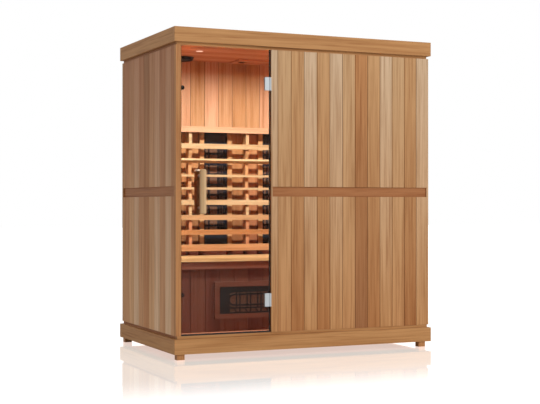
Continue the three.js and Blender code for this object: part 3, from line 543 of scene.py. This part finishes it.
class SAUNA_OT_stage(bpy.types.Operator):
    """Make the floor, the studio light and the camera"""

    bl_idname = "sauna.stage"
    bl_label = "Stage"

    def execute(self, context):
        scene = context.scene
        values = scene.cabin_stage
        scene.view_settings.view_transform = "Standard"
        self.make_world(scene, values)
        self.make_floor(scene)
        self.make_lamps(scene, values)
        data = bpy.data.cameras.new("camera")
        data.lens = values.camera_lens
        data.sensor_width = SENSOR_WIDTH
        camera = bpy.data.objects.new("camera", data)
        camera.location = values.camera_place
        camera.rotation_euler = (math.pi / 2 + values.camera_tilt, 0, -values.camera_turn)
        scene.collection.objects.link(camera)
        scene.camera = camera
        return {"FINISHED"}

    def seen(self, tree, rays):
        """One for what the camera sees straight or along these rays, and nought for spread light."""
        path = put(tree, "ShaderNodeLightPath")
        sight = path.outputs["Is Camera Ray"]
        for ray in rays:
            both = put(tree, "ShaderNodeMath", {0: sight, 1: path.outputs[ray]}, operation="MAXIMUM")
            sight = both.outputs[0]
        first = put(tree, "ShaderNodeMath", {0: path.outputs["Diffuse Depth"], 1: 0.5}, operation="LESS_THAN")
        share = put(tree, "ShaderNodeMath", {0: sight, 1: first.outputs[0]}, operation="MULTIPLY")
        return share.outputs[0]

    def make_world(self, scene, values):
        world = bpy.data.worlds.new("studio")
        scene.world = world
        world.use_nodes = True
        tree = world.node_tree
        tree.nodes.clear()
        strength = put(
            tree,
            "ShaderNodeMapRange",
            {
                "Value": self.seen(tree, ("Is Glossy Ray", "Is Transmission Ray")),
                "To Min": values.sky,
                "To Max": 1.0,
            },
        )
        light = put(
            tree,
            "ShaderNodeBackground",
            {"Color": (1, 1, 1, 1), "Strength": strength.outputs["Result"]},
        )
        put(tree, "ShaderNodeOutputWorld", {"Surface": light.outputs["Background"]})

    def make_floor(self, scene):
        mesh = bpy.data.meshes.new("floor")
        corners = [(x * FLOOR_REACH, y * FLOOR_REACH, 0) for x, y in ((-1, -1), (1, -1), (1, 1), (-1, 1))]
        mesh.from_pydata(corners, [], [(0, 1, 2, 3)])
        floor = bpy.data.objects.new("floor", mesh)
        scene.collection.objects.link(floor)
        # White acrylic sheet, polished: bright enough to read as plain white, with a mirror that fades away
        # from the plinth
        material, tree = start_material("acrylic_sheet_polished")
        spot = put(tree, "ShaderNodeTexCoord").outputs["Object"]
        axes = put(tree, "ShaderNodeSeparateXYZ", {"Vector": spot})
        gaps = []
        for axis in (0, 1):
            away = put(tree, "ShaderNodeMath", {0: axes.outputs[axis]}, operation="ABSOLUTE")
            gap = put(
                tree,
                "ShaderNodeMath",
                {0: away.outputs[0], 1: cad_box[1][axis]},
                operation="SUBTRACT",
            )
            gaps.append(gap.outputs[0])
        far = put(tree, "ShaderNodeMath", {0: gaps[0], 1: gaps[1]}, operation="MAXIMUM")
        fade = put(
            tree,
            "ShaderNodeMapRange",
            {
                "Value": far.outputs[0],
                "From Min": MIRROR_FADE[0],
                "From Max": MIRROR_FADE[1],
                "To Min": MIRROR_SHARE,
                "To Max": 0.0,
            },
            interpolation_type="SMOOTHSTEP",
        )
        matt = put(tree, "ShaderNodeBsdfDiffuse", {"Color": (0.88, 0.88, 0.88, 1)})
        # Painted light: the sheet's glow is tinted warm near the cabin, most of all below the plinth, for
        # light thrown off the timber
        reach = put(
            tree,
            "ShaderNodeMapRange",
            {"Value": far.outputs[0], "From Min": WARM_REACH[0], "From Max": WARM_REACH[1]},
        )
        warm = put(tree, "ShaderNodeValToRGB", {"Fac": reach.outputs["Result"]})
        fill_ramp(warm.color_ramp, WARM_SHADES)
        glow = put(tree, "ShaderNodeEmission", {"Color": warm.outputs["Color"], "Strength": GLOW_STRENGTH})
        share = put(
            tree,
            "ShaderNodeMath",
            {0: self.seen(tree, ("Is Transmission Ray",)), 1: GLOW_SHARE},
            operation="MULTIPLY",
        )
        body = put(
            tree,
            "ShaderNodeMixShader",
            {0: share.outputs[0], 1: matt.outputs["BSDF"], 2: glow.outputs["Emission"]},
        )
        mirror = put(tree, "ShaderNodeBsdfGlossy", {"Color": (1, 1, 1, 1), "Roughness": 0.04})
        whole = put(
            tree,
            "ShaderNodeMixShader",
            {0: fade.outputs["Result"], 1: body.outputs["Shader"], 2: mirror.outputs["BSDF"]},
        )
        put(tree, "ShaderNodeOutputMaterial", {"Surface": whole.outputs["Shader"]})
        mesh.materials.append(material)

    def hang(self, scene, data, spot, watts):
        """Put a lamp in the scene."""
        data.energy = watts
        lamp = bpy.data.objects.new(data.name, data)
        lamp.location = spot
        scene.collection.objects.link(lamp)
        return lamp

    def gather(self, name, pieces):
        """CAD nodes that a lamp lights, leaves out or is shaded by."""
        group = bpy.data.collections.new(name)
        for piece in pieces:
            group.objects.link(NODES[piece])
        return group

    def make_lamps(self, scene, values):
        large = bpy.data.lights.new("key", "AREA")
        large.shape = "SQUARE"
        large.size = values.key_width
        key = self.hang(scene, large, values.key_place, values.key)
        key.rotation_euler = (Vector(values.key_aim) - key.location).to_track_quat("-Z", "Y").to_euler()
        # The room has two lamps: one for the wall behind the sitters, and one for all the rest of the room
        strip = bpy.data.lights.new("room light", "AREA")
        strip.shape = "RECTANGLE"
        strip.size = values.room_length
        strip.size_y = values.room_width
        strip.spread = values.room_spread
        room = self.hang(scene, strip, values.room_place, values.room)
        point = bpy.data.lights.new("back light", "POINT")
        point.shadow_soft_size = values.back_radius
        back = self.hang(scene, point, values.back_place, values.back)
        for lamp in (room, back):
            lamp.data.color = colours().lamp[:3]
            lamp.visible_camera = False
            lamp.visible_glossy = False
            lamp.visible_transmission = False
        left_out = self.gather("before the sitters", BEHIND)
        for part in left_out.collection_objects:
            part.light_linking.link_state = "EXCLUDE"
        room.light_linking.receiver_collection = left_out
        back.light_linking.receiver_collection = self.gather("behind the sitters", BEHIND)
        shading = BEHIND + ("upper_back_panel",)
        back.light_linking.blocker_collection = self.gather("shading the wall", shading)


class SAUNA_OT_outer_boards(bpy.types.Operator):
    """Finish the boards of the outer walls and their recessed rails"""

    bl_idname = "sauna.outer_boards"
    bl_label = "Outer Boards"

    def execute(self, context):
        size = sizes()
        # Western red cedar, planed and oiled: straight fine grain, and a tone of its own for each board. Each
        # board is painted paler high up and darker and more orange low down: painted fall-off of the light
        front = cedar(
            "cedar_planed_front",
            [
                dict(
                    along="Z",
                    tones=wall_tones(FRONT_ORDER),
                    boards=("X", size.front_start, -size.front_pitch),
                )
            ],
        )
        dress(("front_wall_lower_boards", "front_wall_upper_boards"), front, size.timber_edge)
        # The side tones, also used on the back wall, are painted brighter low down than high up: painted
        # light off the floor
        side_tones = wall_tones(SIDE_ORDER, "_side")
        side = cedar(
            "cedar_planed_side",
            [dict(along="Z", tones=side_tones, boards=("Y", size.side_start, -size.side_pitch))],
        )
        names = [f"{hand}_wall_{level}_boards" for hand in ("left", "right") for level in ("lower", "upper")]
        dress(names, side, size.timber_edge)
        back = cedar(
            "cedar_planed_back",
            [dict(along="Z", tones=side_tones, boards=("X", 0.0, size.side_pitch))],
        )
        dress(("back_wall_panel",), back, size.timber_edge)
        # Cores of the same cedar: the recessed rail shows outside, and boards face the room
        rail = one_tone(colours().rail)
        room = room_tones(ROOM_ORDER, "room_")
        front_core = cedar(
            "cedar_planed_front_frame",
            [
                dict(along="Z", tones=wall_tones(["pale"])),
                dict(
                    along="X",
                    tones=rail,
                    within=around("Y", -low("front_wall_core", "Y") - RAIL_RECESS, RAIL_SKIN),
                ),
                dict(
                    along="Z",
                    tones=room,
                    boards=("X", 0.0, size.lining_pitch),
                    within=around("Y", -high("front_wall_core", "Y"), LINING_SKIN),
                ),
            ],
        )
        dress(("front_wall_core",), front_core, size.timber_edge)
        side_core = cedar(
            "cedar_planed_side_frame",
            [
                dict(along="Z", tones=wall_tones(["amber"])),
                dict(
                    along="Y",
                    tones=rail,
                    within=around("X", -low("left_wall_core", "X") - RAIL_RECESS, RAIL_SKIN),
                ),
                dict(
                    along="Z",
                    tones=room,
                    boards=("Y", size.side_lining_start, -size.lining_pitch),
                    within=around("X", -high("left_wall_core", "X"), LINING_SKIN),
                ),
            ],
        )
        dress(("left_wall_core", "right_wall_core"), side_core, size.timber_edge)
        return {"FINISHED"}


class SAUNA_OT_trim(bpy.types.Operator):
    """Finish the plinth, the roof, the rails, the feet and the stile"""

    bl_idname = "sauna.trim"
    bl_label = "Trim"

    def execute(self, context):
        edge = sizes().timber_edge
        # Cedar trim, planed and oiled: golden brown with long even grain
        trim = one_tone(colours().trim)
        long_trim = cedar("cedar_trim_long", [dict(along="X", tones=trim)])
        short_trim = cedar("cedar_trim_short", [dict(along="Y", tones=trim)])
        upright = cedar("cedar_trim_upright", [dict(along="Z", tones=one_tone(colours().stile))])
        for ring in ("base", "roof"):
            dress((f"{ring}_front_board", f"{ring}_back_board"), long_trim, edge)
            dress((f"{ring}_left_board", f"{ring}_right_board"), short_trim, edge)
        dress(("front_bottom_rail", "front_top_rail"), long_trim, edge)
        feet = [f"foot_{end}_{hand}" for end in ("front", "back") for hand in ("left", "right")]
        dress(feet, upright, edge)
        dress(("front_left_stile",), upright, edge)
        # Cedar cover, painted near black below as painted shade: no pale wood shows through the vent
        cover = cedar(
            "cedar_cover_stained",
            [
                dict(along="X", tones=trim),
                dict(
                    along="X",
                    tones=one_tone(colours().painted_vent_shade),
                    within=around("Z", low("roof_cover", "Z"), edge),
                ),
            ],
        )
        dress(("roof_cover",), cover, edge)
        return {"FINISHED"}


class SAUNA_OT_room(bpy.types.Operator):
    """Finish the lining, the ceiling, the vent, the floor, the bench and the backrest"""

    bl_idname = "sauna.room"
    bl_label = "Room"

    def execute(self, context):
        self.finish_walls(sizes(), colours())
        self.finish_ceiling(sizes(), colours())
        self.finish_seat(sizes(), colours())
        return {"FINISHED"}

    def finish_walls(self, size, tint):
        # Cedar lining, planed and left bare: warm boards. The back wall's lining is painted darker and redder
        # towards the bench, and the boards below the bench darker still: painted light and shade
        edge = size.timber_edge
        rail_foot = low("upper_back_panel", "Z")
        panel = cedar(
            "cedar_bare_panel",
            [
                dict(
                    along="Z",
                    tones=room_tones(PANEL_ORDER, "panel_"),
                    boards=("X", size.panel_start, size.lining_pitch),
                    joint=size.panel_joint,
                ),
                dict(
                    along="X",
                    tones=one_tone(tint.panel_rail),
                    within=("Z", rail_foot, rail_foot + PANEL_RAIL_HEIGHT),
                ),
            ],
        )
        dress(("upper_back_panel",), panel, edge)
        bench_top = high("bench_seat", "Z")
        # The lining darkens and reddens from the upper panel down to the bench: painted fall-off of the light
        lining = cedar(
            "cedar_bare_lining",
            [
                dict(
                    along="Z",
                    tones=wall_tones(LINING_ORDER, "_lining"),
                    boards=("X", size.lining_start, size.lining_pitch),
                    rise=(bench_top, WALL_RISE[1]),
                ),
                dict(
                    along="Z",
                    tones=one_tone(tint.batten),
                    within=around("Y", low("back_wall_lining", "Y"), edge),
                ),
                # Painted shade: the lining between the lowest slat and the bench is painted dark
                dict(
                    along="X",
                    tones=one_tone(tint.painted_shade_strip),
                    within=("Z", bench_top, low("backrest", "Z")),
                ),
            ],
        )
        dress(("back_wall_lining",), lining, edge)
        # Painted shade: the boards below the bench are dark red to stand for the shade under the seat, and
        # the apron a touch lighter
        apron_top = high("bench_front_panel", "Z")
        bench_front = cedar(
            "cedar_bare_bench_front",
            [
                dict(
                    along="Z",
                    tones=room_tones(BENCH_ORDER, "bench_"),
                    boards=("X", size.bench_start, size.lining_pitch),
                ),
                dict(
                    along="X",
                    tones=one_tone(tint.apron),
                    within=("Z", apron_top - APRON_HEIGHT, apron_top),
                ),
            ],
        )
        dress(("bench_front_panel",), bench_front, edge)
        # Painted shade: the bench heater's frame takes the dark tone of the shaded boards below the bench
        heater_frame = cedar("cedar_bare_frame", [dict(along="X", tones=one_tone(tint.bench_amber))])
        dress(("bench_heater_frame",), heater_frame, edge)

    def finish_ceiling(self, size, tint):
        # Cedar ceiling and floor, planed and left bare: reddish boards whose grain runs across the cabin
        edge = size.timber_edge
        ceiling = cedar(
            "cedar_bare_ceiling",
            [
                dict(
                    along="X",
                    tones=room_tones(CEILING_ORDER, "ceiling_"),
                    boards=("Y", size.ceiling_start, size.ceiling_pitch),
                )
            ],
        )
        dress([f"ceiling_{side}_panel" for side in ("front", "left", "right", "back")], ceiling, edge)
        long_room = cedar("cedar_bare_long", [dict(along="X", tones=one_tone(tint.ceiling_straw))])
        dress(("floor_deck", "vent_shutter"), long_room, edge)
        # The vent's far lip and its groove are painted near black as painted shade, and its face below is
        # bare again
        bare = one_tone(tint.ceiling_pale)
        vent = cedar(
            "cedar_bare_vent",
            [
                dict(along="X", tones=bare),
                dict(
                    along="X",
                    tones=one_tone(tint.painted_vent_shade),
                    within=around("Y", high("vent_shutter", "Y"), VENT_LIP),
                ),
                dict(along="X", tones=bare, within=around("Z", low("vent_frame", "Z"), edge)),
            ],
        )
        dress(("vent_frame",), vent, edge)

    def finish_seat(self, size, tint):
        # Cedar slats and bench, sanded smooth: pale clear wood that bodies lean on
        edge = size.timber_edge
        foot = low("backrest", "Z")
        second = foot + SECOND_SLAT_RISE
        third = foot + THIRD_SLAT_RISE
        lowest_top = foot + LOWEST_SLAT_HEIGHT
        rib_face = low("backrest", "Y") + SLAT_DEPTH
        # The ribs are painted pale high up and dark red low down: painted fall-off of the light
        ribs = [
            dict(
                along="Z",
                tones=[(tint.rib_top, tint.rib_foot)],
                within=("Y", rib_face, high("backrest", "Y")),
            ),
            dict(along="Z", tones=one_tone(tint.rib_low), within=("Z", lowest_top, third)),
        ]
        # The three lowest slats are painted darker: painted fall-off of the light towards the bench
        slats = [
            dict(along="X", tones=one_tone(shade), within=("Z", under, over))
            for shade, under, over in (
                (tint.slat_third, third, third + SLAT_HEIGHT),
                (tint.slat_second, second, second + SLAT_HEIGHT),
                (tint.slat_lowest, foot, lowest_top),
            )
        ]
        plain = dict(along="X", tones=one_tone(tint.slat))
        backrest = cedar("cedar_sanded_slats", [plain] + ribs + slats, 0.6)
        dress(("backrest",), backrest, edge)
        bench = cedar("cedar_sanded_bench", [dict(along="X", tones=one_tone(tint.bench))], 0.6)
        dress(("bench_seat",), bench, edge)


class SAUNA_OT_heaters(bpy.types.Operator):
    """Finish the heaters on the back wall and under the bench"""

    bl_idname = "sauna.heaters"
    bl_label = "Heaters"

    def execute(self, context):
        tint = colours()
        # Steel housing, enamelled matt black, with emitter plates of brown ceramic behind the openings of
        # its guard
        # The heaters on the back wall use their own enamel and plate colours: painted light, with a painted
        # sheen on the guard bars
        for name, enamel, emitter in (
            ("bench_heater", tint.enamel, tint.emitter),
            ("back_heater_left", tint.enamel_back, tint.emitter_back),
            ("back_heater_right", tint.enamel_back, tint.emitter_back),
        ):
            material, tree = start_material("enamel_matt_" + name)
            spot = put(tree, "ShaderNodeTexCoord").outputs["Object"]
            axes = put(tree, "ShaderNodeSeparateXYZ", {"Vector": spot})
            deep = put(
                tree,
                "ShaderNodeMath",
                {0: axes.outputs["Y"], 1: low(name, "Y") + GUARD_SKIN},
                operation="GREATER_THAN",
            )
            speck = put(
                tree,
                "ShaderNodeTexNoise",
                {"Vector": spot, "Scale": 1 / sizes().enamel_speck, "Detail": 2.0},
            )
            gloss = put(
                tree,
                "ShaderNodeMapRange",
                {"Value": speck.outputs["Fac"], "To Min": 0.42, "To Max": 0.58},
            )
            shown = put(
                tree,
                "ShaderNodeMix",
                {0: deep.outputs[0], 6: enamel, 7: emitter},
                data_type="RGBA",
            )
            shader = put(
                tree,
                "ShaderNodeBsdfPrincipled",
                {
                    "Base Color": shown.outputs[2],
                    "Roughness": gloss.outputs["Result"],
                    "IOR": 1.5,
                    "Specular IOR Level": 0.3,
                },
            )
            put(tree, "ShaderNodeOutputMaterial", {"Surface": shader.outputs["BSDF"]})
            dress((name,), material, sizes().metal_edge)
        return {"FINISHED"}


class SAUNA_OT_door(bpy.types.Operator):
    """Finish the door glass, its handles, its hinges, the seals and the stops"""

    bl_idname = "sauna.door"
    bl_label = "Door"

    def execute(self, context):
        self.finish_glass(colours())
        self.finish_handles(colours())
        self.finish_metal(sizes(), colours())
        self.finish_seals(sizes(), colours())
        return {"FINISHED"}

    def finish_glass(self, tint):
        # Float glass, tempered and coated against glare: clear, with hardly a mirror on its face
        glass, tree = start_material("float_glass_coated")
        shader = put(
            tree,
            "ShaderNodeBsdfPrincipled",
            {
                "Base Color": tint.glass,
                "Roughness": 0.0,
                "IOR": 1.5,
                "Transmission Weight": 1.0,
                "Specular Tint": (0.1, 0.1, 0.1, 1),
            },
        )
        put(tree, "ShaderNodeOutputMaterial", {"Surface": shader.outputs["BSDF"]})
        dress(("door_glass",), glass)

    def finish_handles(self, tint):
        # Ash, turned and sanded: pale even grain along the bar. The inner handle is painted darker as painted
        # shade, and its end carries a near white painted highlight
        outer = cedar("ash_turned", [dict(along="Z", tones=one_tone(tint.handle))], 0.5)
        dress(("door_handle_outer",), outer)
        end = high("door_handle_inner", "Z")
        # The inner handle: a darker copy of the ash as painted shade, and a near white end as a painted
        # highlight
        inner = cedar(
            "ash_turned_shaded",
            [
                dict(along="Z", tones=one_tone(tint.handle_inner)),
                dict(along="X", tones=one_tone(tint.handle_highlight), within=("Z", end - HANDLE_END, end)),
            ],
            0.5,
        )
        dress(("door_handle_inner",), inner)

    def finish_metal(self, size, tint):
        # Stainless steel, satin brushed: a soft grey mirror with fine upright lines
        steel, tree = start_material("stainless_steel_satin")
        spot = put(tree, "ShaderNodeTexCoord").outputs["Object"]
        brushed = put(
            tree,
            "ShaderNodeMapping",
            {"Vector": spot, "Scale": grain_scale("Z", size.brush_spacing, size.brush_run)},
        )
        lines = put(
            tree,
            "ShaderNodeTexNoise",
            {"Vector": brushed.outputs["Vector"], "Scale": 1.0, "Detail": 2.0},
        )
        gloss = put(
            tree,
            "ShaderNodeMapRange",
            {"Value": lines.outputs["Fac"], "To Min": 0.60, "To Max": 0.72},
        )
        shader = put(
            tree,
            "ShaderNodeBsdfPrincipled",
            {"Base Color": tint.steel, "Metallic": 1.0, "Roughness": gloss.outputs["Result"]},
        )
        put(tree, "ShaderNodeOutputMaterial", {"Surface": shader.outputs["BSDF"]})
        pieces = ("hinge_clamp", "hinge_leaf", "handle_bolt")
        metal = [f"{piece}_{level}" for piece in pieces for level in ("lower", "upper")]
        dress(metal, steel, size.metal_edge)

    def finish_seals(self, size, tint):
        # Silicone rubber, moulded: dull black
        rubber, tree = start_material("silicone_moulded")
        spot = put(tree, "ShaderNodeTexCoord").outputs["Object"]
        skin = put(
            tree,
            "ShaderNodeTexNoise",
            {"Vector": spot, "Scale": 1 / size.rubber_skin, "Detail": 2.0},
        )
        gloss = put(
            tree,
            "ShaderNodeMapRange",
            {"Value": skin.outputs["Fac"], "To Min": 0.6, "To Max": 0.8},
        )
        shader = put(
            tree,
            "ShaderNodeBsdfPrincipled",
            {"Base Color": tint.rubber, "Roughness": gloss.outputs["Result"], "IOR": 1.43},
        )
        put(tree, "ShaderNodeOutputMaterial", {"Surface": shader.outputs["BSDF"]})
        names = ("door_gasket", "door_sill_seal", "door_stop_lower", "door_stop_upper")
        dress(names, rubber, size.metal_edge)


class SAUNA_OT_fittings(bpy.types.Operator):
    """Finish the downlights, the speaker, the control panel and the power inlet"""

    bl_idname = "sauna.fittings"
    bl_label = "Fittings"

    def execute(self, context):
        # Acrylic, moulded and frosted: an even bright disc
        lens, tree = start_material("acrylic_frosted")
        shader = put(
            tree,
            "ShaderNodeBsdfPrincipled",
            {
                "Base Color": colours().acrylic,
                "Roughness": 0.4,
                "Emission Color": colours().lens_glow,
                "Emission Strength": 0.6,
            },
        )
        put(tree, "ShaderNodeOutputMaterial", {"Surface": shader.outputs["BSDF"]})
        dress(("downlight_left", "downlight_right"), lens)
        # ABS, moulded and grained: dull black
        plastic, tree = start_material("abs_moulded")
        spot = put(tree, "ShaderNodeTexCoord").outputs["Object"]
        skin = put(
            tree,
            "ShaderNodeTexNoise",
            {"Vector": spot, "Scale": 1 / sizes().plastic_grain, "Detail": 2.0},
        )
        gloss = put(
            tree,
            "ShaderNodeMapRange",
            {"Value": skin.outputs["Fac"], "To Min": 0.45, "To Max": 0.6},
        )
        shader = put(
            tree,
            "ShaderNodeBsdfPrincipled",
            {
                "Base Color": colours().plastic,
                "Roughness": gloss.outputs["Result"],
                "IOR": 1.5,
                "Specular IOR Level": 0.15,
            },
        )
        put(tree, "ShaderNodeOutputMaterial", {"Surface": shader.outputs["BSDF"]})
        dress(("ceiling_speaker", "control_panel", "power_inlet"), plastic, sizes().metal_edge)
        return {"FINISHED"}


OPERATORS = (
    SAUNA_OT_stage,
    SAUNA_OT_outer_boards,
    SAUNA_OT_trim,
    SAUNA_OT_room,
    SAUNA_OT_heaters,
    SAUNA_OT_door,
    SAUNA_OT_fittings,
)


class SAUNA_PT_panel(bpy.types.Panel):
    """Sidebar panel with the steps of the finish"""

    bl_label = "Sauna"
    bl_space_type = "VIEW_3D"
    bl_region_type = "UI"
    bl_category = "Sauna"

    def draw(self, context):
        for step in OPERATORS:
            self.layout.operator(step.bl_idname)


GROUPS = {"cabin_sizes": CabinSizes, "cabin_colours": CabinColours, "cabin_stage": CabinStage}


def register():
    for name, group in GROUPS.items():
        bpy.utils.register_class(group)
        setattr(bpy.types.Scene, name, PointerProperty(type=group))
    for cls in OPERATORS + (SAUNA_PT_panel,):
        bpy.utils.register_class(cls)


def unregister():
    for cls in reversed(OPERATORS + (SAUNA_PT_panel,)):
        bpy.utils.unregister_class(cls)
    for name, group in reversed(GROUPS.items()):
        delattr(bpy.types.Scene, name)
        bpy.utils.unregister_class(group)


def main():
    register()
    bpy.ops.sauna.stage()
    bpy.ops.sauna.outer_boards()
    bpy.ops.sauna.trim()
    bpy.ops.sauna.room()
    bpy.ops.sauna.heaters()
    bpy.ops.sauna.door()
    bpy.ops.sauna.fittings()


if __name__ == "__main__":
    main()
